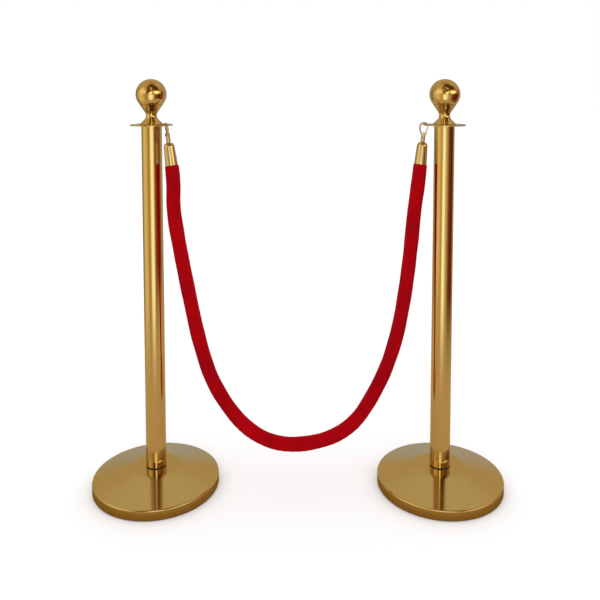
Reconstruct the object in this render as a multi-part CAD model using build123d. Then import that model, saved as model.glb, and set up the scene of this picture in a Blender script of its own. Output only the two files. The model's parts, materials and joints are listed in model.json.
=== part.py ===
from build123d import *
import os
from math import atan2, cos, degrees, pi, radians, sin, tan

# Rope stanchion barrier: two weighted ball-top posts and one velvet rope that hooks between them.
# Millimetres. +Z is up, the floor is Z = 0, the posts stand on the X axis either side of the
# origin, and the front of the barrier faces -Y.

# ---------------------------------------------------------------- driving dimensions
POST_SPACING = 732.0
BASE_R = 160.0
BASE_RIM_Z = 26.0
BASE_TOP_Z = 52.0
HUB_R = 60.0
HUB_BLEND_R = 60.0
COVER_WALL = 1.5
COVER_EDGE_R = 4.0
SKIRT_Z = 2.0
RING_HEIGHT = 5.0
RING_WIDTH = 12.0
RECESS_R = 112.0
RECESS_Z = 14.0
WEIGHT_TOP_Z = 22.0
WEIGHT_PAD_R = 34.0
BOLT_R = 6.0
BOLT_HEAD_FLATS = 19.0
BOLT_HEAD_HEIGHT = 7.0
BOLT_LENGTH = 68.0
WASHER_R = 15.0
WASHER_THICK = 2.0
TUBE_R = 25.4
TUBE_WALL = 1.5
GASKET_THICK = 2.0
GASKET_OVERHANG = 0.3
INSERT_DEPTH = 36.0
PLATE_Z = 930.0
PLATE_R = 53.0
PLATE_THICK = 3.0
PLATE_EDGE_R = 0.9
HOLE_R = 8.0
HOLE_CIRCLE_R = 40.5
STUD_R = 4.95
FLANGE_R = 29.0
WAIST_R = 13.4
WAIST_RISE = 24.0
BALL_R = 38.0
BALL_WALL = 1.2
BALL_RISE = 76.5
FIT = 0.1
JOINT_GAP = 0.3

HOOK_Z = 924.5
HOOK_REACH = 50.75
LOOP_R = 10.6
WIRE_R = 2.25
SHANK_BEND_R = 25.0
NOSE_ANGLE = 160.0
GATE_PIVOT = (-5.0, -16.0)
GATE_LENGTH = 18.6
GATE_THICK = 2.6
GATE_WIDTH = 4.0
GATE_EYE_R = 2.9
EYE_WIDTH = 3.0
PIN_R = 1.0
SLOT_WIDTH = 6.2
HEAD_WIDTH = 9.2
BARREL_R = 5.5
BARREL_TOP = -20.0
BARREL_BOTTOM = -37.1
STEM_R = 3.0
STEM_BOTTOM = -44.0
FERRULE_TOP = -37.5
FERRULE_SHOULDER = -47.5
FERRULE_MOUTH = -93.0
FERRULE_SHOULDER_R = 13.3
FERRULE_MOUTH_R = 15.6
FERRULE_WALL = 1.5
SCREW_W = -79.0
SCREW_R = 1.5
CORE_R = 13.5
CORE_END_R = 11.3
CORE_TOP = -52.0
ROPE_R = 17.75

# Which way each post's plate, hook and rope end face. Angles are degrees about Z from +X.
LEFT = {
    "name": "left",
    "x": -POST_SPACING / 2,
    "reach_angle": -33.0,
    "loop_angle": -66.0,
    "hole_angle": -28.5,
    "lean": 7.0,
}
RIGHT = {
    "name": "right",
    "x": POST_SPACING / 2,
    "reach_angle": 180.0,
    "loop_angle": 180.0,
    "hole_angle": 180.0,
    "lean": 5.2,
}


def turned(*outline):
    """Solid turned about Z from a closed outline of (radius, height) edges."""
    return revolve(Plane.XZ * make_face(outline), Axis.Z)


def turned_polygon(*points):
    """Solid turned about Z from a closed polygon of (radius, height) points."""
    return turned(Polyline(*points, close=True))


def rod(radius, low, high):
    """Round bar on Z between two heights."""
    return Pos(0, 0, low) * extrude(Circle(radius), high - low)


def tube(outer, inner, low, high):
    """Round tube on Z between two heights."""
    return Pos(0, 0, low) * extrude(Circle(outer) - Circle(inner), high - low)


# ---------------------------------------------------------------- post pieces, on Z at the origin
def make_floor_ring():
    """Rubber ring under the rim: the only piece that touches the floor."""
    outer = BASE_R - COVER_WALL - JOINT_GAP
    inner = outer - RING_WIDTH
    ring = tube(outer, inner, 0, RING_HEIGHT)
    return fillet(ring.edges().group_by(Axis.Z)[0], 1.0)


def make_base_weight():
    """Cast-iron disc inside the cover: dished underside, raised pad in the middle."""
    outer = BASE_R - COVER_WALL - 1.0
    pad_z = BASE_TOP_Z - COVER_WALL - FIT
    bore = BOLT_R + 1.0
    return turned_polygon(
        (bore, RECESS_Z),
        (bore, pad_z),
        (WEIGHT_PAD_R, pad_z),
        (WEIGHT_PAD_R + 8.0, WEIGHT_TOP_Z),
        (outer - 3.0, WEIGHT_TOP_Z),
        (outer, WEIGHT_TOP_Z - 3.0),
        (outer, RING_HEIGHT),
        (RECESS_R + 6.0, RING_HEIGHT),
        (RECESS_R, RECESS_Z),
    )


def cover_body(radius, edge_r, blend_r, low, drop):
    """Disc under a low cone with a flat hub: its rim is rounded and its hub blends into the cone."""
    body = turned_polygon(
        (0, low),
        (radius, low),
        (radius, BASE_RIM_Z - drop),
        (HUB_R, BASE_TOP_Z - drop),
        (0, BASE_TOP_Z - drop),
    )
    for circle_r, bend_r in ((radius, edge_r), (HUB_R, blend_r)):
        circles = body.edges().filter_by(GeomType.CIRCLE)
        ring = circles.filter_by(lambda edge: abs(edge.radius - circle_r) < 0.01).sort_by(Axis.Z)[-1]
        body = fillet(ring, bend_r)
    return body


def make_base_cover():
    """Spun sheet cover: straight skirt, rolled rim and a low cone up to the flat hub of the tube."""
    outside = cover_body(BASE_R, COVER_EDGE_R, HUB_BLEND_R, SKIRT_Z, 0)
    inside = cover_body(
        BASE_R - COVER_WALL,
        COVER_EDGE_R - COVER_WALL,
        HUB_BLEND_R - COVER_WALL,
        SKIRT_Z - 1,
        COVER_WALL,
    )
    return outside - inside - rod(BOLT_R + 1.0, 0, BASE_TOP_Z + 1)


def make_base_washer():
    """Flat washer under the bolt head, in the dish of the weight."""
    return tube(WASHER_R, BOLT_R + 0.5, RECESS_Z - WASHER_THICK, RECESS_Z)


def make_base_bolt():
    """Hexagon bolt that pulls the tube, cover and weight together from below."""
    seat = RECESS_Z - WASHER_THICK
    head = extrude(RegularPolygon(BOLT_HEAD_FLATS / 2, 6, major_radius=False), BOLT_HEAD_HEIGHT)
    shank = rod(BOLT_R - FIT / 2, seat, seat + BOLT_LENGTH)
    return Pos(0, 0, seat - BOLT_HEAD_HEIGHT) * head + shank


GASKET_Z = BASE_TOP_Z + FIT
TUBE_BOTTOM = GASKET_Z + GASKET_THICK + FIT
TUBE_TOP = PLATE_Z - PLATE_THICK / 2


def make_foot_gasket():
    """Thin black washer between the foot of the tube and the hub of the cover."""
    return tube(TUBE_R + GASKET_OVERHANG, BOLT_R + 4.0, GASKET_Z, GASKET_Z + GASKET_THICK)


def make_foot_insert():
    """Threaded plug welded in the foot of the tube, which the base bolt screws into."""
    return tube(TUBE_R - TUBE_WALL - FIT, BOLT_R, TUBE_BOTTOM, TUBE_BOTTOM + INSERT_DEPTH)


def make_post_tube():
    """Polished steel tube."""
    return tube(TUBE_R, TUBE_R - TUBE_WALL, TUBE_BOTTOM, TUBE_TOP)


def make_head_insert():
    """Threaded plug in the head of the tube, which the finial's stud screws into."""
    return tube(TUBE_R - TUBE_WALL - FIT, STUD_R + FIT / 2, TUBE_TOP - INSERT_DEPTH, TUBE_TOP)


def make_hook_plate(hole_angle):
    """Flat ring plate with four holes for rope hooks, clamped under the finial."""
    plate = tube(PLATE_R, STUD_R + 0.4, TUBE_TOP, TUBE_TOP + PLATE_THICK)
    plate = fillet(plate.edges().group_by(SortBy.LENGTH)[-1], PLATE_EDGE_R)
    for quarter in range(4):
        turn = Rot(0, 0, hole_angle + 90 * quarter)
        plate -= turn * Pos(HOLE_CIRCLE_R, 0, 0) * rod(HOLE_R, TUBE_TOP - 1, TUBE_TOP + PLATE_THICK + 1)
    return plate


def make_finial_neck():
    """Turned neck: a 45 degree trumpet foot, a narrow waist and a cup that holds the ball."""
    foot = PLATE_THICK / 2 + JOINT_GAP
    foot_arc = 14.7
    cup_arc = 13.3
    cup_angle = radians(34)
    diagonal = radians(45)
    slant_top = (WAIST_R + foot_arc * (1 - cos(diagonal)), WAIST_RISE - foot_arc * sin(diagonal))
    slant_foot = (FLANGE_R, slant_top[1] - (FLANGE_R - slant_top[0]))
    waist = (WAIST_R, WAIST_RISE)
    cup_foot = (WAIST_R + cup_arc * (1 - cos(cup_angle)), WAIST_RISE + cup_arc * sin(cup_angle))
    cup_rise = 19.5
    cup_top = (cup_foot[0] + cup_rise * tan(cup_angle), cup_foot[1] + cup_rise)
    bore = STUD_R + 0.4
    half_foot = diagonal / 2
    half_cup = cup_angle / 2
    neck = turned(
        Polyline(
            cup_top,
            (bore, cup_top[1]),
            (bore, foot),
            (FLANGE_R - 0.4, foot),
            (FLANGE_R, foot + 0.4),
            slant_foot,
            slant_top,
        ),
        ThreePointArc(
            slant_top,
            (WAIST_R + foot_arc * (1 - cos(half_foot)), WAIST_RISE - foot_arc * sin(half_foot)),
            waist,
        ),
        ThreePointArc(
            waist,
            (WAIST_R + cup_arc * (1 - cos(half_cup)), WAIST_RISE + cup_arc * sin(half_cup)),
            cup_foot,
        ),
        Line(cup_foot, cup_top),
    )
    return Pos(0, 0, PLATE_Z) * (neck - Pos(0, 0, BALL_RISE) * Sphere(BALL_R + FIT / 2))


def make_finial_ball():
    """Hollow spun ball with a round hole underneath for the stud."""
    centre = Pos(0, 0, PLATE_Z + BALL_RISE)
    hole = rod(STUD_R + 0.6, -BALL_R - 1, 0)
    return centre * (Sphere(BALL_R) - Sphere(BALL_R - BALL_WALL) - hole)


def make_ball_boss():
    """Threaded boss brazed inside the ball, which the stud screws into."""
    inside = Sphere(BALL_R - BALL_WALL - FIT / 2)
    boss = tube(9.5, STUD_R + FIT / 2, -BALL_R, -BALL_R + 21)
    return Pos(0, 0, PLATE_Z + BALL_RISE) * (boss & inside)


def make_finial_stud():
    """Threaded rod from the head insert up into the ball."""
    stud = rod(STUD_R, PLATE_Z - 30, PLATE_Z + BALL_RISE - BALL_R + 19)
    return chamfer(stud.edges(), 0.8)


# ---------------------------------------------------------------- hook pieces, in the hook's frame
# The hook's frame has its origin at the centre of the loop. Its Z runs up the swivel axis, and the
# loop lies in its XZ plane with the gate on the -X side.
def make_hook():
    """Cast snap hook: pear-shaped loop, forked head for the gate, round barrel and swivel stem."""
    nose = radians(NOSE_ANGLE)
    root_w = -16.0
    root_u = LOOP_R - SHANK_BEND_R + (SHANK_BEND_R**2 - root_w**2) ** 0.5
    bend_mid = radians(-degrees(atan2(-root_w, root_u - LOOP_R + SHANK_BEND_R)) / 2)
    shank = ThreePointArc(
        (root_u, root_w),
        (LOOP_R - SHANK_BEND_R + SHANK_BEND_R * cos(bend_mid), SHANK_BEND_R * sin(bend_mid)),
        (LOOP_R, 0),
    )
    loop = ThreePointArc(
        (LOOP_R, 0),
        (LOOP_R * cos(nose / 2), LOOP_R * sin(nose / 2)),
        (LOOP_R * cos(nose), LOOP_R * sin(nose)),
    )
    line = Plane.XZ * Wire([shank.edge(), loop.edge()])
    wire = sweep(Plane(line @ 0, z_dir=line % 0) * Circle(WIRE_R), path=line)

    outline = make_face(
        Polyline(
            (-7.2, -13.6),
            (-7.9, -16.2),
            (-5.4, -21.0),
            (5.4, -21.0),
            (7.9, -16.2),
            (7.4, -13.6),
            close=True,
        )
    )
    head = extrude(Plane.XZ * outline, HEAD_WIDTH / 2, both=True)
    head = fillet(head.edges().filter_by(Axis.Y), 1.2)
    slot_low = -19.6
    slot = Pos(-6.2, 0, slot_low + 5) * Box(10.0, SLOT_WIDTH, 10.0)
    barrel = turned_polygon(
        (0, BARREL_TOP),
        (BARREL_R, BARREL_TOP),
        (BARREL_R, -25.0),
        (BARREL_R - 0.8, -25.8),
        (BARREL_R - 0.8, -27.0),
        (BARREL_R, -27.8),
        (BARREL_R, BARREL_BOTTOM + 0.8),
        (BARREL_R - 0.8, BARREL_BOTTOM),
        (STEM_R, BARREL_BOTTOM),
        (STEM_R, STEM_BOTTOM),
        (0, STEM_BOTTOM),
    )
    pin_hole = Pos(GATE_PIVOT[0], 0, GATE_PIVOT[1]) * Rot(90, 0, 0) * Cylinder(PIN_R, 20)
    return (head - slot) + wire + barrel - pin_hole


def make_stop_collar():
    """Steel collar pressed on the stem inside the ferrule: the hook turns but can't pull out."""
    return tube(STEM_R + 2.4, STEM_R, STEM_BOTTOM + 0.4, STEM_BOTTOM + 3.6)


def make_gate():
    """Gate bar with an eye for its pin, standing from the pin up to the hook's nose."""
    eye = Rot(90, 0, 0) * Cylinder(GATE_EYE_R, EYE_WIDTH)
    bar = Pos(0, 0, GATE_LENGTH / 2) * Box(GATE_THICK, GATE_WIDTH, GATE_LENGTH)
    bar -= Box(3 * GATE_EYE_R, 2 * GATE_WIDTH, 2 * GATE_EYE_R)
    bar = fillet(bar.edges().filter_by(Axis.Z), 0.8)
    web = Pos(0, 0, GATE_EYE_R) * Box(GATE_THICK, EYE_WIDTH, 2 * GATE_EYE_R)
    hole = Rot(90, 0, 0) * Cylinder(PIN_R + 0.05, 20)
    nose = radians(NOSE_ANGLE)
    tilt = degrees(
        atan2(LOOP_R * cos(nose) - GATE_PIVOT[0], LOOP_R * sin(nose) - GATE_PIVOT[1])
    )
    return Pos(GATE_PIVOT[0], 0, GATE_PIVOT[1]) * Rot(0, tilt, 0) * (eye + web + bar - hole)


def make_gate_pin():
    """Rivet through the fork of the head and the eye of the gate."""
    shank = Rot(90, 0, 0) * Cylinder(PIN_R, HEAD_WIDTH + 0.6)
    return Pos(GATE_PIVOT[0], 0, GATE_PIVOT[1]) * shank


def make_gate_spring():
    """Two turns of spring wire round the pin, between the eye and one side of the fork."""
    wire_r = 0.28
    coil_r = PIN_R + wire_r + 0.5
    pitch = 0.62
    coil = Helix(pitch=pitch, height=1.5 * pitch, radius=coil_r)
    spring = sweep(Plane(coil @ 0, z_dir=coil % 0) * Circle(wire_r), path=coil, is_frenet=True)
    start = EYE_WIDTH / 2 + wire_r + 0.05
    return Pos(GATE_PIVOT[0], start, GATE_PIVOT[1]) * Rot(-90, 0, 0) * spring


# ---------------------------------------------------------------- rope end pieces, in a ferrule frame
def make_ferrule():
    """Spun brass end cap: domed shoulder with the swivel hole, opening to the rope."""
    hole = STEM_R + 0.25
    inside_top = FERRULE_TOP - 2.5
    inside_shoulder = FERRULE_SHOULDER - 1.0
    shell = turned(
        Polyline((hole, inside_top), (hole, FERRULE_TOP), (4.6, FERRULE_TOP)),
        ThreePointArc(
            (4.6, FERRULE_TOP),
            (10.6, FERRULE_TOP - 3.1),
            (FERRULE_SHOULDER_R, FERRULE_SHOULDER),
        ),
        Polyline(
            (FERRULE_SHOULDER_R, FERRULE_SHOULDER),
            (FERRULE_MOUTH_R, FERRULE_MOUTH),
            (FERRULE_MOUTH_R - FERRULE_WALL, FERRULE_MOUTH),
            (FERRULE_SHOULDER_R - FERRULE_WALL, inside_shoulder),
        ),
        ThreePointArc(
            (FERRULE_SHOULDER_R - FERRULE_WALL, inside_shoulder),
            (9.1, inside_top - 3.0),
            (4.6, inside_top),
        ),
        Line((4.6, inside_top), (hole, inside_top)),
    )
    return shell - Pos(0, 10, SCREW_W) * Rot(90, 0, 0) * Cylinder(SCREW_R + FIT, 20)


def make_ferrule_screw():
    """Small pan-head screw at the back that holds the rope's core in the ferrule."""
    seat = FERRULE_MOUTH_R - 0.3
    profile = Polyline(
        (0, seat - 10.0),
        (SCREW_R, seat - 10.0),
        (SCREW_R, seat),
        (SCREW_R + 1.4, seat),
        (SCREW_R + 1.0, seat + 1.2),
        (0, seat + 1.4),
        close=True,
    )
    screw = revolve(Plane.XZ * make_face(profile), Axis.Z)
    return Pos(0, 0, SCREW_W) * Rot(-90, 0, 0) * screw


def make_core_end():
    """Bound end of the rope's core, tapered to sit in the ferrule, with the screw's hole."""
    plug = turned_polygon((0, CORE_TOP), (CORE_END_R, CORE_TOP), (CORE_R, FERRULE_MOUTH), (0, FERRULE_MOUTH))
    return plug - Pos(0, 10, SCREW_W) * Rot(90, 0, 0) * Cylinder(SCREW_R, 20)


# ---------------------------------------------------------------- where the hooks and the rope lie
def loop_centre(side):
    """Centre of a hook's loop: over the web between a plate hole and the plate's rim."""
    angle = radians(side["reach_angle"])
    return Vector(side["x"] + HOOK_REACH * cos(angle), HOOK_REACH * sin(angle), HOOK_Z)


LEFT_LOOP = loop_centre(LEFT)
RIGHT_LOOP = loop_centre(RIGHT)
ALONG = (RIGHT_LOOP - LEFT_LOOP).normalized()
SPAN = (RIGHT_LOOP - LEFT_LOOP).length


def at(run, height):
    """Point in the rope's upright plane: a distance along from the left hook, and a height."""
    spot = LEFT_LOOP + ALONG * run
    return Vector(spot.X, spot.Y, height)


def swivel_axis(side):
    """Upward direction of the ferrule's axis, which leans back over its own post."""
    outward = ALONG if side is LEFT else ALONG * -1
    lean = radians(side["lean"])
    return Vector(0, 0, cos(lean)) - outward * sin(lean)


def hook_frame(side):
    """Frame of the hook: Z up the swivel axis, X in the plane of the loop, away from the post."""
    axis = swivel_axis(side)
    angle = radians(side["loop_angle"])
    level = Vector(cos(angle), sin(angle), 0)
    return Plane(origin=loop_centre(side), x_dir=level - axis * level.dot(axis), z_dir=axis)


def ferrule_frame(side):
    """Frame of the ferrule: the same axis as the hook, with Y towards the back of the barrier."""
    axis = swivel_axis(side)
    return Plane(origin=loop_centre(side), x_dir=ALONG - axis * ALONG.dot(axis), z_dir=axis)


def mouth(side, beyond=0.0):
    """Point on the ferrule's axis at its mouth, or a distance beyond it down the rope."""
    return loop_centre(side) + swivel_axis(side) * (FERRULE_MOUTH - beyond)


LEFT_LEAD = 42.0
RIGHT_LEAD = 47.0
ROUTE = [
    mouth(LEFT),
    mouth(LEFT, LEFT_LEAD),
    at(13, 725),
    at(30, 618),
    at(52, 500),
    at(75, 384),
    at(111, 266),
    at(196, 146),
    at(305, 103),
    at(453, 138),
    at(532.5, 264),
    at(573.5, 378),
    at(595, 496),
    at(608, 606),
    at(616.5, 713),
    mouth(RIGHT, RIGHT_LEAD),
    mouth(RIGHT),
]


def corner_radii(points):
    """Largest tangent arc at each corner: 0.45 of the shorter run over the tangent of half the turn."""
    radii = []
    for before, corner, after in zip(points, points[1:], points[2:]):
        into = corner - before
        out = after - corner
        half_turn = radians(into.get_angle(out)) / 2
        radii.append(0.45 * min(into.length, out.length) / tan(half_turn))
    return radii


def rope_path():
    """Centre line of the rope: straight runs joined by tangent arcs."""
    return FilletPolyline(*ROUTE, radius=corner_radii(ROUTE))


def swept(section, path):
    """A section carried square to a path."""
    return sweep(Plane(path @ 0, z_dir=path % 0) * section, path=path)


def make_rope_sleeve(path):
    """Velvet sleeve with its padding, between the two ferrule mouths."""
    return swept(Circle(ROPE_R) - Circle(CORE_R), path)


def make_rope_core(path):
    """Cotton core under the sleeve, with its bound ends inside the ferrules."""
    core = swept(Circle(CORE_R), path)
    for side in (LEFT, RIGHT):
        core += ferrule_frame(side).location * make_core_end()
    return core


# ---------------------------------------------------------------- assembly and files
def post_pieces(side):
    """Every piece of one post, by node name, standing at its place on the X axis."""
    pieces = {
        "floor_ring": make_floor_ring(),
        "base_weight": make_base_weight(),
        "base_cover": make_base_cover(),
        "base_washer": make_base_washer(),
        "base_bolt": make_base_bolt(),
        "foot_gasket": make_foot_gasket(),
        "foot_insert": make_foot_insert(),
        "post_tube": make_post_tube(),
        "head_insert": make_head_insert(),
        "hook_plate": make_hook_plate(side["hole_angle"]),
        "finial_neck": make_finial_neck(),
        "finial_ball": make_finial_ball(),
        "ball_boss": make_ball_boss(),
        "finial_stud": make_finial_stud(),
    }
    return {f"{side['name']}_{name}": Pos(side["x"], 0, 0) * piece for name, piece in pieces.items()}


def rope_end_pieces(side):
    """Hook and ferrule pieces of one end of the rope, by node name."""
    in_hook = {
        "hook": make_hook(),
        "stop_collar": make_stop_collar(),
        "gate": make_gate(),
        "gate_pin": make_gate_pin(),
        "gate_spring": make_gate_spring(),
    }
    in_ferrule = {"ferrule": make_ferrule(), "ferrule_screw": make_ferrule_screw()}
    placed = {f"{side['name']}_{name}": hook_frame(side).location * piece for name, piece in in_hook.items()}
    for name, piece in in_ferrule.items():
        placed[f"{side['name']}_{name}"] = ferrule_frame(side).location * piece
    return placed


def report(path, sleeve):
    """Print the route's arcs, the rope's length and volume, and the places of the joints."""
    print("route radii mm:", [round(radius) for radius in corner_radii(ROUTE)])
    runs = [(after - before).length for before, after in zip(ROUTE, ROUTE[1:])]
    print("route runs mm:", [round(run) for run in runs])
    section = pi * (ROPE_R**2 - CORE_R**2)
    print("rope length mm:", round(path.length, 1))
    print("sleeve volume over section x length:", round(sleeve.volume / (section * path.length), 4))
    print("rope swing axis:", LEFT_LOOP, ALONG, "span", round(SPAN, 2))
    for side, lead in ((LEFT, LEFT_LEAD), (RIGHT, RIGHT_LEAD)):
        frame = hook_frame(side)
        pivot = frame.from_local_coords(Vector(GATE_PIVOT[0], 0, GATE_PIVOT[1]))
        print(side["name"], "loop centre", frame.origin, "swivel axis", frame.z_dir)
        print(side["name"], "gate pivot", pivot, "axis", frame.y_dir)
        print(side["name"], "mouth", mouth(side), "lead", mouth(side, lead))


def main():
    path = rope_path()
    pieces = {}
    for side in (LEFT, RIGHT):
        pieces.update(post_pieces(side))
        pieces.update(rope_end_pieces(side))
    pieces["rope_sleeve"] = make_rope_sleeve(path)
    pieces["rope_core"] = make_rope_core(path)
    os.makedirs("parts", exist_ok=True)
    for name, piece in pieces.items():
        export_step(piece, f"parts/{name}.step")
    report(path, pieces["rope_sleeve"])


main()
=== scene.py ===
"""Rope stanchion barrier: two gold ball-top posts on weighted bases, with a red velvet rope
hooked between them. Metres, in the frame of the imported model: Z up, floor at Z = 0, the posts on
the X axis and the front of the barrier towards -Y."""
import json
import math

import bmesh
import bpy
import numpy as np
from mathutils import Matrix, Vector


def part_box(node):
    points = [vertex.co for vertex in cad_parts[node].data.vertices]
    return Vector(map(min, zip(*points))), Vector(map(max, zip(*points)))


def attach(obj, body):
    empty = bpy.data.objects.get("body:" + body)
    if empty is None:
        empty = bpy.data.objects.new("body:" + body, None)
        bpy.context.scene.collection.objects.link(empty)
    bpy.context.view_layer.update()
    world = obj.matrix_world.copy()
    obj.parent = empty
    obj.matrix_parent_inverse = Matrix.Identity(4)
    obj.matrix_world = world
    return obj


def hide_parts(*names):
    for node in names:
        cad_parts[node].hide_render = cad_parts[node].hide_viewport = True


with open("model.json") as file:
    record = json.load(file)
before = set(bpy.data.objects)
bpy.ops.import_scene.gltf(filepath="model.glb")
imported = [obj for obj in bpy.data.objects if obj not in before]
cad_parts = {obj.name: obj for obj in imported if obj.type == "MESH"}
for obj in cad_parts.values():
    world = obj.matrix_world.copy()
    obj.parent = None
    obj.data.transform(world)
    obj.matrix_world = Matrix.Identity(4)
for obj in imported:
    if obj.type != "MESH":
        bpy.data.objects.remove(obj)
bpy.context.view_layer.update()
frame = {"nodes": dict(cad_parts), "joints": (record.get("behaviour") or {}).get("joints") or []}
scene = bpy.context.scene
nodes = frame["nodes"]
joints = {joint["name"]: joint for joint in frame["joints"]}
SIDES = ("left", "right")

# ---------------------------------------------------------------- camera
# Standing in front of the middle of the barrier, at about the height of the finials, and tipped
# down a little.
camera = bpy.data.objects.new("camera", bpy.data.cameras.new("camera"))
camera.location = (0.005, -1.75, 1.03)
camera.rotation_euler = (math.radians(90 - 3.85), 0, 0)
camera.data.sensor_width = 36.0
camera.data.lens = 42.07
camera.data.shift_y = -0.28
scene.collection.objects.link(camera)
scene.camera = camera
scene.view_settings.view_transform = "Standard"
scene.view_settings.look = "None"


def node(tree, kind, inputs=None, **settings):
    """One shader node: made, its inputs set or linked, and handed back."""
    made = tree.nodes.new(kind)
    for key, value in settings.items():
        setattr(made, key, value)
    for key, value in (inputs or {}).items():
        if isinstance(value, bpy.types.NodeSocket):
            tree.links.new(value, made.inputs[key])
        else:
            made.inputs[key].default_value = value
    return made


def calc(tree, operation, one, two=0.0):
    """Sum, product or other calculation on one or two values."""
    return node(tree, "ShaderNodeMath", {0: one, 1: two}, operation=operation).outputs[0]


def ramp(tree, factor, stops):
    """Colour from (place, colour) stops along a factor, eased from one to the next."""
    made = node(tree, "ShaderNodeValToRGB", {0: factor})
    band = made.color_ramp
    band.interpolation = "EASE"
    for place, _ in stops[2:]:
        band.elements.new(place)
    for element, (place, colour) in zip(band.elements, stops):
        element.position = place
        element.color = (*colour, 1.0)
    return made.outputs[0]


def mixed(tree, factor, first, second):
    """Blend of two colours or colour sockets."""
    one = first if isinstance(first, bpy.types.NodeSocket) else (*first, 1.0)
    two = second if isinstance(second, bpy.types.NodeSocket) else (*second, 1.0)
    return node(tree, "ShaderNodeMix", {0: factor, 6: one, 7: two}, data_type="RGBA").outputs[2]


def stretch(tree, value, low, high, to_low=0.0, to_high=1.0, kind="SMOOTHSTEP"):
    """A value carried from one range to another."""
    limits = {0: value, 1: low, 2: high, 3: to_low, 4: to_high}
    return node(tree, "ShaderNodeMapRange", limits, interpolation_type=kind).outputs[0]


# ---------------------------------------------------------------- studio walls
# A white cove with soft light all round. What polished metal sees of the cove is a row of soft
# boxes, warm gaps and dark brown flags, by bearing round the barrier from the front. What it sees
# by way of a second polished piece is dimmer.
BACK_WALL = (0.36, 0.36, 0.38)
BANDS = [
    (-180, BACK_WALL),
    (-140, (0.36, 0.31, 0.24)),
    (-122, (0.20, 0.12, 0.07)),
    (-104, (0.50, 0.44, 0.29)),
    (-78, (0.72, 0.58, 0.33)),
    (-58, (0.66, 0.52, 0.29)),
    (-40, (0.50, 0.36, 0.16)),
    (-27, (0.34, 0.23, 0.08)),
    (-8, (0.56, 0.46, 0.28)),
    (22, (0.50, 0.40, 0.26)),
    (34, (0.38, 0.26, 0.15)),
    (50, (0.16, 0.05, 0.02)),
    (84, (0.09, 0.012, 0.003)),
    (104, (0.18, 0.06, 0.04)),
    (124, (0.42, 0.30, 0.24)),
    (180, BACK_WALL),
]
UPPER_WALL = (0.40, 0.31, 0.17)
COVING = (0.44, 0.37, 0.24)
CEILING = (0.38, 0.24, 0.09)
world = bpy.data.worlds.new("studio")
scene.world = world
world.use_nodes = True
sky = world.node_tree
sky.nodes.clear()
direction = node(sky, "ShaderNodeTexCoord").outputs["Generated"]
parts = node(sky, "ShaderNodeSeparateXYZ", {0: direction}).outputs
toward = calc(sky, "MULTIPLY", parts[1], -1.0)
climb = parts[2]
bearing = calc(sky, "ARCTAN2", parts[0], toward)
turn = stretch(sky, bearing, -math.pi, math.pi, kind="LINEAR")
walls = ramp(sky, turn, [((angle + 180) / 360, colour) for angle, colour in BANDS])
upper = mixed(sky, stretch(sky, climb, 0.12, 0.45), walls, UPPER_WALL)
coving = mixed(sky, stretch(sky, climb, 0.50, 0.84), upper, COVING)
cove = mixed(sky, stretch(sky, climb, 0.88, 0.98), coving, CEILING)

# Lamps and dark fittings overhead in front, with a plain bright screen to their left: only balls,
# necks and plates turn far enough to see them.
LAMPS = [
    (0.00, (0.05, 0.018, 0.004)),
    (0.42, (0.09, 0.04, 0.01)),
    (0.50, (0.36, 0.20, 0.06)),
    (0.58, (0.75, 0.55, 0.28)),
    (0.66, (1.6, 1.4, 1.0)),
]
SCREEN = (0.88, 0.75, 0.43)
SCREEN_TOP = (0.46, 0.34, 0.18)
blots = node(sky, "ShaderNodeTexNoise", {0: direction, 2: 1.9, 3: 2.0, 4: 0.5}).outputs[0]
lamps_low = stretch(sky, climb, 0.28, 0.46, 0.05, -0.09)
fittings = ramp(sky, calc(sky, "ADD", blots, lamps_low), LAMPS)
screen = mixed(sky, stretch(sky, climb, 0.42, 0.80), SCREEN, SCREEN_TOP)
in_front = mixed(sky, stretch(sky, bearing, -1.0, -0.2), screen, fittings)
ahead = stretch(sky, toward, -0.05, 0.25)
above = stretch(sky, climb, -0.04, 0.16)
reflected = mixed(sky, calc(sky, "MULTIPLY", ahead, above), cove, in_front)

WHITE = (1.0, 1.0, 1.0, 1.0)
SOFT_LIGHT = 1.10
SECOND_GLOSS = 0.6
light_path = node(sky, "ShaderNodeLightPath").outputs
seen = node(sky, "ShaderNodeBackground", {0: WHITE, 1: 1.0}).outputs[0]
soft = node(sky, "ShaderNodeBackground", {0: WHITE, 1: SOFT_LIGHT}).outputs[0]
dimmed = stretch(sky, light_path["Glossy Depth"], 1.0, 2.0, 1.0, SECOND_GLOSS, "LINEAR")
mirrored = node(sky, "ShaderNodeBackground", {0: reflected, 1: dimmed}).outputs[0]
lit = node(sky, "ShaderNodeMixShader", {0: light_path["Is Glossy Ray"], 1: soft, 2: mirrored}).outputs[0]
shown = node(sky, "ShaderNodeMixShader", {0: light_path["Is Camera Ray"], 1: lit, 2: seen}).outputs[0]
node(sky, "ShaderNodeOutputWorld", {0: shown})

# ---------------------------------------------------------------- studio floor
# Matt white board underfoot. The polished metal sees a painted copy of it: a darker, warmer grey near
# the posts with painted shadow darkest close to the bases, and further out sees the walls through it.
def board(name, corners):
    """Flat four-cornered studio board and its bare material."""
    mesh = bpy.data.meshes.new(name)
    mesh.from_pydata(corners, [], [range(len(corners))])
    made = bpy.data.objects.new(name, mesh)
    scene.collection.objects.link(made)
    cloth = bpy.data.materials.new(name)
    cloth.use_nodes = True
    cloth.node_tree.nodes.clear()
    mesh.materials.append(cloth)
    return made, cloth.node_tree


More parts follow.
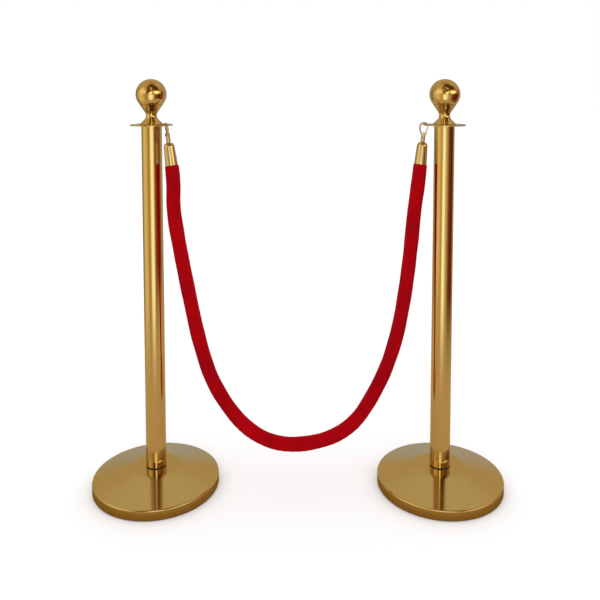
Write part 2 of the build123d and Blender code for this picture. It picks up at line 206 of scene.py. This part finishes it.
FLOOR_HALF = 20.0
FLOOR_WHITE = (0.97, 0.97, 0.97)
# Painted reflection and painted shadow: the darker warm grey the polished metal sees of the white floor,
# and a darker brown painted shadow round each post that fades out over the given reach.
FLOOR_PAINTED_REFLECTION = (0.42, 0.31, 0.18)
FLOOR_PAINTED_SHADOW = (0.25, 0.15, 0.045)
PAINTED_SHADOW_REACH = (0.175, 0.225)
WALLS_SHOW = (0.45, 1.8)
post_at = {}
for side in SIDES:
    low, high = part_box(f"{side}_post_tube")
    post_at[side] = ((low[0] + high[0]) / 2, (low[1] + high[1]) / 2)
floor, tree = board("floor", [
    (-FLOOR_HALF, -FLOOR_HALF, 0), (FLOOR_HALF, -FLOOR_HALF, 0),
    (FLOOR_HALF, FLOOR_HALF, 0), (-FLOOR_HALF, FLOOR_HALF, 0),
])
spot = node(tree, "ShaderNodeTexCoord").outputs["Object"]
gaps = []
for side in SIDES:
    ends = {0: spot, 1: (*post_at[side], 0.0)}
    gaps.append(node(tree, "ShaderNodeVectorMath", ends, operation="DISTANCE").outputs["Value"])
nearest = calc(tree, "MINIMUM", *gaps)
# Painted reflection of the floor: painted shadow close to the posts, the darker warm grey further out.
painted_floor_reflection = mixed(tree, stretch(tree, nearest, *PAINTED_SHADOW_REACH), FLOOR_PAINTED_SHADOW, FLOOR_PAINTED_REFLECTION)
is_glossy = node(tree, "ShaderNodeLightPath").outputs["Is Glossy Ray"]
paint = mixed(tree, is_glossy, FLOOR_WHITE, painted_floor_reflection)
matt = node(tree, "ShaderNodeBsdfDiffuse", {0: paint}).outputs[0]
through = calc(tree, "MULTIPLY", stretch(tree, nearest, *WALLS_SHOW), is_glossy)
opening = node(tree, "ShaderNodeBsdfTransparent").outputs[0]
surface = node(tree, "ShaderNodeMixShader", {0: through, 1: matt, 2: opening}).outputs[0]
node(tree, "ShaderNodeOutputMaterial", {0: surface})

# ---------------------------------------------------------------- soft box and strip light
# A wide white cloth behind the camera, bright in the middle and fading to its sides, and a narrow
# strip light that stands up above it. Only the polished metal sees them.
CARD_HALF = 1.0
CARD_MIDDLE = 0.02
CARD_Y = -2.05
CARD_LOW = -1.0
CARD_HIGH = 4.2
BOX_FADE = (0.26, 0.97)
BOX_TOP = (0.75, 1.25)
BOX_SECOND_GLOSS = 0.45
STRIP_FADE = (0.10, 0.36)
STRIP_FIRST_GLOSS = 0.15
CLOTH_LIGHT = (1.0, 1.0, 0.86, 1.0)
CLOTH_STRENGTH = 1.08
card, tree = board("soft_box", [
    (-CARD_HALF, CARD_Y, CARD_LOW), (-CARD_HALF, CARD_Y, CARD_HIGH),
    (CARD_HALF, CARD_Y, CARD_HIGH), (CARD_HALF, CARD_Y, CARD_LOW),
])
card.visible_camera = False
card.visible_diffuse = False
card.visible_shadow = False
place = node(tree, "ShaderNodeTexCoord").outputs["Object"]
card_parts = node(tree, "ShaderNodeSeparateXYZ", {0: place}).outputs
off_centre = calc(tree, "ABSOLUTE", calc(tree, "SUBTRACT", card_parts[0], CARD_MIDDLE))
depth = node(tree, "ShaderNodeLightPath").outputs["Glossy Depth"]
across = stretch(tree, off_centre, *BOX_FADE, 1.0, 0.0)
upward = stretch(tree, card_parts[2], *BOX_TOP, 1.0, 0.0)
in_second = stretch(tree, depth, 1.0, 2.0, 1.0, BOX_SECOND_GLOSS, "LINEAR")
box_light = calc(tree, "MULTIPLY", calc(tree, "MULTIPLY", across, upward), in_second)
slim = stretch(tree, off_centre, *STRIP_FADE, 1.0, 0.0)
in_first = stretch(tree, depth, 1.0, 2.0, STRIP_FIRST_GLOSS, 1.0, "LINEAR")
strip_light = calc(tree, "MULTIPLY", slim, in_first)
lit_share = calc(tree, "MAXIMUM", box_light, strip_light)
lamp = node(tree, "ShaderNodeEmission", {0: CLOTH_LIGHT, 1: CLOTH_STRENGTH}).outputs[0]
unlit = node(tree, "ShaderNodeBsdfTransparent").outputs[0]
cloth = node(tree, "ShaderNodeMixShader", {0: lit_share, 1: unlit, 2: lamp}).outputs[0]
node(tree, "ShaderNodeOutputMaterial", {0: cloth})


# ---------------------------------------------------------------- floor rings
# A black rubber ring under the rim of each base: the only piece that touches the floor.
def rounded(corners, steps=5):
    """Outline of (radius, height) points in which each corner with a third value gets an arc of
    that radius: the arc touches both sides at radius / tan(half the angle between them)."""
    points = []
    count = len(corners)
    for i, corner in enumerate(corners):
        here = np.array(corner[:2], dtype=float)
        if len(corner) < 3:
            points.append(here)
            continue
        before = np.array(corners[i - 1][:2]) - here
        after = np.array(corners[(i + 1) % count][:2]) - here
        before /= np.linalg.norm(before)
        after /= np.linalg.norm(after)
        half = math.acos(np.clip(before @ after, -1, 1)) / 2
        middle = before + after
        centre = here + middle / np.linalg.norm(middle) * corner[2] / math.sin(half)
        start = here + before * corner[2] / math.tan(half) - centre
        end = here + after * corner[2] / math.tan(half) - centre
        sweep = math.acos(np.clip(start @ end / corner[2] ** 2, -1, 1))
        for share in np.linspace(0, 1, steps):
            arc = math.sin((1 - share) * sweep) * start + math.sin(share * sweep) * end
            points.append(centre + arc / math.sin(sweep))
    return np.array(points)


def braced(outline, closed, gap=0.0004):
    """The outline with a point close to both ends of each long run, so that shading stays flat."""
    ends = np.vstack((outline, outline[:1])) if closed else outline
    points = []
    for one, two in zip(ends, ends[1:]):
        points.append(one)
        run = np.linalg.norm(two - one)
        if run > 6 * gap:
            points.append(one + (two - one) * gap / run)
            points.append(two - (two - one) * gap / run)
    if not closed:
        points.append(outline[-1])
    return np.array(points)


def grid_faces(rows, columns, close_rows):
    """Quads of a grid that is closed along its columns, and along its rows if close_rows is true."""
    i = np.arange(rows if close_rows else rows - 1)[:, None]
    j = np.arange(columns)[None, :]
    up = (i + 1) % rows
    right = (j + 1) % columns
    corners = [i * columns + j, i * columns + right, up * columns + right, up * columns + j]
    return np.stack(np.broadcast_arrays(*corners), axis=-1).reshape(-1, 4)


def to_object(name, verts, faces, material, sharp=40.0):
    """A piece from arrays of points and faces: doubles merged, normals outward, smooth to an angle."""
    mesh = bpy.data.meshes.new(name)
    mesh.from_pydata(verts.tolist(), [], faces.tolist())
    work = bmesh.new()
    work.from_mesh(mesh)
    bmesh.ops.remove_doubles(work, verts=work.verts, dist=1e-7)
    bmesh.ops.dissolve_degenerate(work, edges=work.edges, dist=1e-8)
    bmesh.ops.recalc_face_normals(work, faces=work.faces)
    work.to_mesh(mesh)
    work.free()
    mesh.shade_smooth()
    mesh.set_sharp_from_angle(angle=math.radians(sharp))
    mesh.materials.append(material)
    piece = bpy.data.objects.new(name, mesh)
    scene.collection.objects.link(piece)
    return piece


def turned(name, outline, foot, axis, material, segments=144, closed=True):
    """Surface turned about an axis through foot: the point (r, h) of the outline goes to
    foot + h axis + r (cos a across + sin a square) at each angle a. A closed outline makes a ring."""
    outline = braced(np.asarray(outline), closed)
    up = Vector(axis).normalized()
    across = up.orthogonal().normalized()
    square = up.cross(across)
    angle = np.linspace(0, 2 * np.pi, segments, endpoint=False)
    ring = np.cos(angle)[:, None] * np.array(across) + np.sin(angle)[:, None] * np.array(square)
    grid = outline[:, None, :1] * ring[None] + outline[:, None, 1:] * np.array(up) + np.array(foot)
    faces = grid_faces(len(outline), segments, closed)
    return to_object(name, grid.reshape(-1, 3), faces, material)


def finish_piece(piece, body, slot, *cad_nodes):
    """A piece rides on its body and stands for its CAD nodes; the slot argument is not used."""
    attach(piece, body)
    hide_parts(*cad_nodes)


def new_finish(name):
    """A new material with its node tree and its main shader."""
    made = bpy.data.materials.new(name)
    made.use_nodes = True
    return made, made.node_tree, made.node_tree.nodes["Principled BSDF"]


def matt_material(name, colour, roughness, grain=400.0, depth=0.00005):
    """Matt moulded, cast or plated surface: colour drift in broad clouds and a fine grain."""
    made, tree, shader = new_finish(name)
    place = node(tree, "ShaderNodeTexCoord").outputs["Object"]
    clouds = node(tree, "ShaderNodeTexNoise", {0: place, 2: 30.0, 3: 3.0}).outputs[0]
    fine = node(tree, "ShaderNodeTexNoise", {0: place, 2: grain, 3: 2.0}).outputs[0]
    dark = tuple(0.8 * c for c in colour)
    tone = mixed(tree, stretch(tree, clouds, 0.35, 0.65), dark, colour)
    rough = stretch(tree, clouds, 0.3, 0.7, roughness - 0.05, roughness + 0.05)
    bump = node(tree, "ShaderNodeBump", {"Strength": 0.6, "Distance": depth, "Height": fine}).outputs[0]
    tree.links.new(tone, shader.inputs["Base Color"])
    tree.links.new(rough, shader.inputs["Roughness"])
    tree.links.new(bump, shader.inputs["Normal"])
    return made


UP = (0.0, 0.0, 1.0)
RING_WIDTH = 0.012
rubber = matt_material("black_rubber", (0.022, 0.022, 0.023), 0.72)
for side in SIDES:
    low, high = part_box(f"{side}_floor_ring")
    outer = (high[0] - low[0]) / 2
    inner = outer - RING_WIDTH
    outline = rounded([
        (outer, low[2], 0.001), (outer, high[2], 0.0004),
        (inner, high[2], 0.0004), (inner, low[2], 0.001),
    ])
    ring = turned(f"{side}_floor_ring_moulded", outline, (*post_at[side], 0), UP, rubber, 160)
    finish_piece(ring, "posts", "floor_rubber", f"{side}_floor_ring")


# ---------------------------------------------------------------- base weights, bolts, inserts
# Everything out of sight in the posts keeps its CAD shape: cast-iron discs in black primer, zinc
# plated bolts, washers and studs, and plain turned inserts and ball bosses.
def metal(name, colour, roughness, marks=0.02, streak=(1.0, 1.0, 1.0), wave=0.00003):
    """Polished metal: faint cloudy marks in the gloss, a little colour drift, polishing lines drawn
    out along the piece, and a slow waviness that bends the reflections."""
    made, tree, shader = new_finish(name)
    place = node(tree, "ShaderNodeTexCoord").outputs["Object"]
    drawn = node(tree, "ShaderNodeMapping", {0: place, 3: streak}).outputs[0]
    cloud = node(tree, "ShaderNodeTexNoise", {0: place, 2: 14.0, 3: 3.0}).outputs[0]
    lines = node(tree, "ShaderNodeTexNoise", {0: drawn, 2: 900.0, 3: 2.0}).outputs[0]
    slow = node(tree, "ShaderNodeTexNoise", {0: drawn, 2: 22.0, 3: 1.0}).outputs[0]
    gloss = stretch(tree, cloud, 0.3, 0.7, roughness - marks, roughness + marks, "LINEAR")
    rough = calc(tree, "ADD", gloss, calc(tree, "MULTIPLY", lines, 0.02))
    tone = mixed(tree, cloud, tuple(0.95 * c for c in colour), colour)
    bend = node(tree, "ShaderNodeBump", {"Strength": 1.0, "Distance": wave, "Height": slow}).outputs[0]
    tree.links.new(tone, shader.inputs["Base Color"])
    tree.links.new(rough, shader.inputs["Roughness"])
    tree.links.new(bend, shader.inputs["Normal"])
    shader.inputs["Metallic"].default_value = 1.0
    return made


CAD_SHARP = math.radians(30)


def keep_cad(names, material):
    """CAD nodes shown as they are, in this material, shaded smooth up to a 30 degree edge."""
    for name in names:
        shape = nodes[name].data
        shape.materials.clear()
        shape.materials.append(material)
        shape.shade_smooth()
        shape.set_sharp_from_angle(angle=CAD_SHARP)


cast_iron = matt_material("primed_cast_iron", (0.035, 0.035, 0.036), 0.6, 160.0, 0.0004)
zinc = metal("bright_zinc", (0.62, 0.63, 0.64), 0.28, 0.06)
turned_steel = metal("turned_steel", (0.46, 0.46, 0.47), 0.34, 0.06)
keep_cad([f"{side}_base_weight" for side in SIDES], cast_iron)
keep_cad(
    [f"{side}_{name}" for side in SIDES for name in ("base_washer", "base_bolt", "finial_stud")],
    zinc,
)
keep_cad(
    [f"{side}_{name}" for side in SIDES for name in ("foot_insert", "head_insert", "ball_boss")],
    turned_steel,
)

# ---------------------------------------------------------------- base covers
# Spun steel sheet, polished and plated gold: straight skirt, rolled rim and a low cone that
# blends into the flat hub under the tube.
GOLD = (0.95, 0.72, 0.32)
WALL = 0.0015
RIM_RADIUS = 0.004
HUB_RADIUS = 0.060
HUB_BLEND = 0.060
CONE_RISE = 0.026
COVER_BORE = 0.007
cover_gold = metal("cover_gold", (0.94, 0.72, 0.33), 0.10, 0.025, wave=0.00005)
for side in SIDES:
    low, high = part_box(f"{side}_base_cover")
    radius = (high[0] - low[0]) / 2
    skirt, hub = low[2], high[2]
    rim = hub - CONE_RISE
    outer_corners = [
        (radius, skirt, 0.0004), (radius, rim, RIM_RADIUS),
        (HUB_RADIUS, hub, HUB_BLEND), (COVER_BORE, hub, 0.0002),
    ]
    inner_corners = [
        (COVER_BORE, hub - WALL, 0.0002), (HUB_RADIUS, hub - WALL, HUB_BLEND - WALL),
        (radius - WALL, rim - WALL, RIM_RADIUS - WALL), (radius - WALL, skirt, 0.0004),
    ]
    outline = rounded(outer_corners + inner_corners, 12)
    cover = turned(f"{side}_base_cover_spun", outline, (*post_at[side], 0), UP, cover_gold, 192)
    finish_piece(cover, "posts", "gold_cover", f"{side}_base_cover")

# ---------------------------------------------------------------- painted joint shade
# A thin black ring between the foot of each tube and the hub: painted shade of the gap at the joint,
# seen as a dark line.
JOINT_SHADE_BORE = 0.010
joint_shade_black = matt_material("black_gasket", (0.012, 0.010, 0.009), 0.6)
for side in SIDES:
    low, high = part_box(f"{side}_foot_gasket")
    outer = (high[0] - low[0]) / 2
    outline = rounded([
        (outer, low[2], 0.0003), (outer, high[2], 0.0003),
        (JOINT_SHADE_BORE, high[2], 0.0002), (JOINT_SHADE_BORE, low[2], 0.0002),
    ])
    joint_shade_ring = turned(f"{side}_foot_joint_shade_ring", outline, (*post_at[side], 0), UP, joint_shade_black)
    finish_piece(joint_shade_ring, "posts", "black_gasket", f"{side}_foot_gasket")

# ---------------------------------------------------------------- post tubes
# Two inch steel tube with its ends just broken, mirror polished lengthways and plated gold.
tube_gold = metal("tube_gold", GOLD, 0.065, 0.015, streak=(1.0, 1.0, 0.04), wave=0.00002)
for side in SIDES:
    low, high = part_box(f"{side}_post_tube")
    radius = (high[0] - low[0]) / 2
    outline = rounded([
        (radius, low[2], 0.0004), (radius, high[2], 0.0004),
        (radius - WALL, high[2], 0.0003), (radius - WALL, low[2], 0.0003),
    ])
    tube = turned(f"{side}_tube_polished", outline, (*post_at[side], 0), UP, tube_gold, 160)
    finish_piece(tube, "posts", "gold_tube", f"{side}_post_tube")

# ---------------------------------------------------------------- hook plates
# Round plates with four rope holes, clamped between tube and finial; these keep their CAD shape.
plate_gold = metal("plate_gold", (0.93, 0.70, 0.33), 0.12, 0.03)
keep_cad([f"{side}_hook_plate" for side in SIDES], plate_gold)

# ---------------------------------------------------------------- finial necks
# Turned in one piece: a trumpet foot, a narrow waist and a cup that holds the ball.
finial_gold = metal("finial_gold", (0.95, 0.70, 0.29), 0.06, 0.015, wave=0.00003)
FLANGE = 0.029
WAIST = (0.0134, 0.024)
FOOT_ARC = 0.0147
CUP_ARC = 0.0133
CUP_ANGLE = math.radians(34)
CUP_RISE = 0.0195
CUP_STEPS = 200
BALL_GAP = 0.00005
NECK_BORE = 0.005


def waist_arc(radius, angles, waist_z):
    """Arc that touches the waist: radius r + R (1 - cos a) and height z + R sin a."""
    return np.column_stack((WAIST[0] + radius * (1 - np.cos(angles)), waist_z + radius * np.sin(angles)))


for side in SIDES:
    ball_low, ball_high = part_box(f"{side}_finial_ball")
    ball_radius = (ball_high[0] - ball_low[0]) / 2
    ball_z = ball_high[2] - ball_radius
    low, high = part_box(f"{side}_hook_plate")
    waist_z = (low[2] + high[2]) / 2 + WAIST[1]
    foot_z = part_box(f"{side}_finial_neck")[0][2]
    trumpet = waist_arc(FOOT_ARC, np.linspace(-math.pi / 4, 0, 12), waist_z)
    slant = (FLANGE, trumpet[0][1] - (FLANGE - trumpet[0][0]))
    cup = waist_arc(CUP_ARC, np.linspace(0, CUP_ANGLE, 10)[1:], waist_z)
    climb_line = CUP_RISE * np.array((math.tan(CUP_ANGLE), 1.0))
    cup_line = cup[-1] + np.linspace(0, 1, CUP_STEPS)[:, None] * climb_line
    seat = ball_radius + BALL_GAP
    outside = np.hypot(cup_line[:, 0], cup_line[:, 1] - ball_z) >= seat
    lip = cup_line[outside][-1]
    start = math.atan2(lip[0], ball_z - lip[1])
    inside = np.linspace(start, math.asin(NECK_BORE / seat), 24)[1:]
    bowl = np.column_stack((seat * np.sin(inside), ball_z - seat * np.cos(inside)))
    outline = np.vstack((
        [(NECK_BORE, foot_z), (FLANGE - 0.0004, foot_z), (FLANGE, foot_z + 0.0004)],
        [slant], trumpet, cup, [lip], bowl,
    ))
    neck = turned(f"{side}_neck_turned", outline, (*post_at[side], 0), UP, finial_gold, 128)
    finish_piece(neck, f"{side}_finial", "gold_finial", f"{side}_finial_neck")

# ---------------------------------------------------------------- finial balls
# Three inch hollow balls, spun from sheet and polished, with a hole underneath for the stud.
BALL_WALL = 0.0012
BALL_HOLE = 0.0052


def ball_arc(radius, centre_z, angles):
    """Half outline of a ball: radius R sin a and height z + R cos a, with a from the top."""
    return np.column_stack((radius * np.sin(angles), centre_z + radius * np.cos(angles)))


for side in SIDES:
    low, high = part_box(f"{side}_finial_ball")
    radius = (high[0] - low[0]) / 2
    centre_z = high[2] - radius
    inner_radius = radius - BALL_WALL
    outer_end = math.pi - math.asin(BALL_HOLE / radius)
    inner_end = math.pi - math.asin(BALL_HOLE / inner_radius)
    outline = np.vstack((
        ball_arc(radius, centre_z, np.linspace(0, outer_end, 72)),
        ball_arc(inner_radius, centre_z, np.linspace(inner_end, 0, 48)),
    ))
    ball = turned(f"{side}_ball_spun", outline, (*post_at[side], 0), UP, finial_gold, closed=False)
    finish_piece(ball, f"{side}_finial", "gold_finial", f"{side}_finial_ball")

# ---------------------------------------------------------------- velvet rope
# A padded velvet sleeve on a cotton core, about an inch and a half thick, hanging in one curve from
# end cap to end cap. Its seam runs along the back, and its ends are drawn in against the caps.
ROPE_RADIUS = 0.01775
SLEEVE_DROP = 0.093
loop_at = {side: Vector(joints[f"{side}_hook_swivel"]["pos_m"]) for side in SIDES}
swivel_up = {side: Vector(joints[f"{side}_hook_swivel"]["axis"]).normalized() for side in SIDES}
along = (loop_at["right"] - loop_at["left"]).normalized()


def at(run, height):
    """Point in the rope's upright plane, a distance along from the left hook and at a height."""
    spot = loop_at["left"] + along * run
    return Vector((spot.x, spot.y, height))


def mouth(side, beyond=0.0):
    """Point at the mouth of an end cap, or a distance beyond it along the rope."""
    return loop_at[side] - swivel_up[side] * (SLEEVE_DROP + beyond)


ROUTE = [
    mouth("left"),
    mouth("left", 0.042),
    at(0.013, 0.725),
    at(0.030, 0.618),
    at(0.052, 0.500),
    at(0.075, 0.384),
    at(0.111, 0.266),
    at(0.196, 0.146),
    at(0.305, 0.103),
    at(0.453, 0.138),
    at(0.5325, 0.264),
    at(0.5735, 0.378),
    at(0.595, 0.496),
    at(0.608, 0.606),
    at(0.6165, 0.713),
    mouth("right", 0.047),
    mouth("right"),
]
line_data = bpy.data.curves.new("rope_line", "CURVE")
line_data.dimensions = "3D"
spline = line_data.splines.new("NURBS")
spline.points.add(len(ROUTE) - 1)
for point, spot in zip(spline.points, ROUTE):
    point.co = (*spot, 1.0)
spline.order_u = 3
spline.use_endpoint_u = True
line_data.resolution_u = 24
line_object = bpy.data.objects.new("rope_line", line_data)
scene.collection.objects.link(line_object)
settled = line_object.evaluated_get(bpy.context.evaluated_depsgraph_get())
line_mesh = bpy.data.meshes.new_from_object(settled)
raw_line = np.array([vertex.co for vertex in line_mesh.vertices])
bpy.data.objects.remove(line_object)
bpy.data.meshes.remove(line_mesh)
steps = np.linalg.norm(np.diff(raw_line, axis=0), axis=1)
travel = np.concatenate(([0.0], np.cumsum(steps)))
rope_length = float(travel[-1])
END_ROUND = 0.006
ROWS = 760
run_in = END_ROUND * (1 - np.cos(np.linspace(0, math.pi / 2, 8)))
middle = np.linspace(END_ROUND, rope_length - END_ROUND, ROWS)[1:-1]
stations = np.concatenate((run_in, middle, rope_length - run_in[::-1]))
rope_line = np.column_stack([np.interp(stations, travel, raw_line[:, k]) for k in range(3)])
tangent = np.gradient(rope_line, stations, axis=0)
tangent /= np.linalg.norm(tangent, axis=1)[:, None]
back_way = np.array([-along.y, along.x, 0.0])
flat_way = np.cross(back_way, tangent)

# The sleeve is a tube round that line. Its radius swells out from the drawn-in ends and carries the
# unevenness of the padding, a slightly oval section that turns along the rope, faint creases on the
# outer side of the tighter bends and the groove of the seam.
COLUMNS = 96
DRAWN_IN = 0.0042
END_SLIM = 0.0006
SLIM_REACH = 0.05
OVAL_DEPTH = 0.00012
OVAL_LENGTH = 0.093
SEAM_DEPTH = 0.0007
SEAM_WIDTH = 0.075
CREASE_DEPTH = 0.00022
CREASING_BEND = 6.0


def ripple(height, length, start=0.0):
    """Ripple along the rope: its height, the length of one wave and the angle it starts at."""
    return height * np.sin(stations * 2 * np.pi / length + start)


around = np.linspace(0, 2 * np.pi, COLUMNS, endpoint=False)
from_end = np.minimum(stations, rope_length - stations)
shoulder = np.clip(from_end / END_ROUND, 0, 1)
swell = ROPE_RADIUS - DRAWN_IN * (1 - np.sqrt(1 - (1 - shoulder) ** 2))
swell -= END_SLIM * np.exp(-from_end / SLIM_REACH)
padding = ripple(0.00022, 0.137, 0.6) + ripple(0.00016, 0.071)
oval = OVAL_DEPTH * np.sin(stations[:, None] * 2 * np.pi / OVAL_LENGTH + 2 * around[None, :] + 1.0)
bend = np.linalg.norm(np.gradient(tangent, stations, axis=0), axis=1)
outer_side = np.clip(np.cos(around - math.pi / 2), 0, 1) ** 2
creases = (ripple(1.0, 0.017) + ripple(0.5, 0.0113, 1.3)) * np.clip(bend / CREASING_BEND, 0, 1)
crumple = CREASE_DEPTH * creases[:, None] * outer_side[None, :]
seam = SEAM_DEPTH * np.exp(-((np.angle(np.exp(1j * around)) / SEAM_WIDTH) ** 2))
radius_grid = swell[:, None] + padding[:, None] * shoulder[:, None] + oval + crumple - seam[None, :]
offset = (
    np.cos(around)[None, :, None] * back_way[None, None, :]
    + np.sin(around)[None, :, None] * flat_way[:, None, :]
)
skin = rope_line[:, None, :] + radius_grid[..., None] * offset
pole = np.repeat(rope_line[[0, -1], None, :], COLUMNS, axis=1)
grid = np.concatenate((pole[:1], skin, pole[1:]))

velvet, tree, shader = new_finish("red_velvet")
place = node(tree, "ShaderNodeTexCoord").outputs["Object"]
broad = node(tree, "ShaderNodeTexNoise", {0: place, 2: 16.0, 3: 3.0}).outputs[0]
pile = node(tree, "ShaderNodeTexNoise", {0: place, 2: 1400.0, 3: 2.0}).outputs[0]
brushed = node(tree, "ShaderNodeTexNoise", {0: place, 2: 120.0, 3: 3.0}).outputs[0]
RED = (0.385, 0.0009, 0.0035)
DEEP_RED = (0.285, 0.0009, 0.0038)
tone = mixed(tree, stretch(tree, broad, 0.3, 0.7), DEEP_RED, RED)
nap = mixed(tree, stretch(tree, brushed, 0.35, 0.65, 0.0, 0.35), tone, DEEP_RED)
bump = node(tree, "ShaderNodeBump", {"Strength": 0.5, "Distance": 0.0003, "Height": pile}).outputs[0]
tree.links.new(nap, shader.inputs["Base Color"])
tree.links.new(bump, shader.inputs["Normal"])
shader.inputs["Roughness"].default_value = 0.95
shader.inputs["Specular IOR Level"].default_value = 0.03
shader.inputs["Sheen Weight"].default_value = 0.05
shader.inputs["Sheen Roughness"].default_value = 0.4
shader.inputs["Sheen Tint"].default_value = (1.0, 0.08, 0.10, 1.0)

rope = to_object("rope_velvet", grid.reshape(-1, 3), grid_faces(len(grid), COLUMNS, False), velvet, 60.0)
finish_piece(rope, "rope", "red_velvet", "rope_sleeve", "rope_core")

# ---------------------------------------------------------------- rope end caps
# Spun brass caps with a domed shoulder: the rope's core is held in each by a small screw at the
# back, and the swivel of the hook comes out of the hole in the top.
brass = metal("ferrule_brass", (0.93, 0.74, 0.42), 0.10, 0.03, wave=0.00004)
CAP_TOP = -0.0375
CAP_SHOULDER = -0.0475
CAP_RADIUS = 0.0133
CAP_MOUTH = 0.0156
STEM_HOLE = 0.00325
DOME_FLAT = 0.0046
LINING_DROP = 0.001


def dome(radius, shoulder_z, rise, angles):
    """Quarter of an ellipse from a small flat top out to the shoulder: flat + (R - flat) sin a
    and shoulder height + rise cos a."""
    reach = DOME_FLAT + (radius - DOME_FLAT) * np.sin(angles)
    return np.column_stack((reach, shoulder_z + rise * np.cos(angles)))


cap_rise = CAP_TOP - CAP_SHOULDER
quarter = np.linspace(0, math.pi / 2, 14)
for side in SIDES:
    outside_dome = dome(CAP_RADIUS, CAP_SHOULDER, cap_rise, quarter)
    lining = dome(CAP_RADIUS - WALL, CAP_SHOULDER - LINING_DROP, cap_rise - WALL, quarter[::-1])
    mouth_edge = rounded([
        (CAP_RADIUS, CAP_SHOULDER), (CAP_MOUTH, -SLEEVE_DROP, 0.0005),
        (CAP_MOUTH - WALL, -SLEEVE_DROP, 0.0005), (CAP_RADIUS - WALL, CAP_SHOULDER - LINING_DROP),
    ])[1:-1]
    stem_hole = [(STEM_HOLE, CAP_TOP - WALL - LINING_DROP), (STEM_HOLE, CAP_TOP)]
    outline = np.vstack((stem_hole, outside_dome, mouth_edge, lining))
    cap = turned(f"{side}_ferrule_spun", outline, loop_at[side], swivel_up[side], brass, 96)
    finish_piece(cap, "rope", "brass_ferrule", f"{side}_ferrule")
keep_cad([f"{side}_ferrule_screw" for side in SIDES], zinc)
end_fittings = [bpy.data.objects[f"{side}_ferrule_spun"] for side in SIDES]
for side in SIDES:
    for name in ("ferrule_screw", "hook", "stop_collar", "gate", "gate_pin", "gate_spring"):
        end_fittings.append(nodes[f"{side}_{name}"])

# ---------------------------------------------------------------- snap hooks, gates and springs
# Cast brass hooks with a pear-shaped loop; each gate turns on a rivet in the forked head and a
# small coil spring holds it shut. These keep their CAD shape.
hook_brass = metal("hook_brass", (0.80, 0.66, 0.42), 0.17, 0.05, wave=0.00003)
gate_brass = metal("gate_brass", (0.86, 0.74, 0.50), 0.15, 0.04)
spring_steel = metal("spring_steel", (0.50, 0.50, 0.52), 0.25, 0.04)
keep_cad([f"{side}_hook" for side in SIDES], hook_brass)
keep_cad([f"{side}_gate" for side in SIDES], gate_brass)
keep_cad([f"{side}_{name}" for side in SIDES for name in ("gate_pin", "stop_collar")], turned_steel)
keep_cad([f"{side}_gate_spring" for side in SIDES], spring_steel)
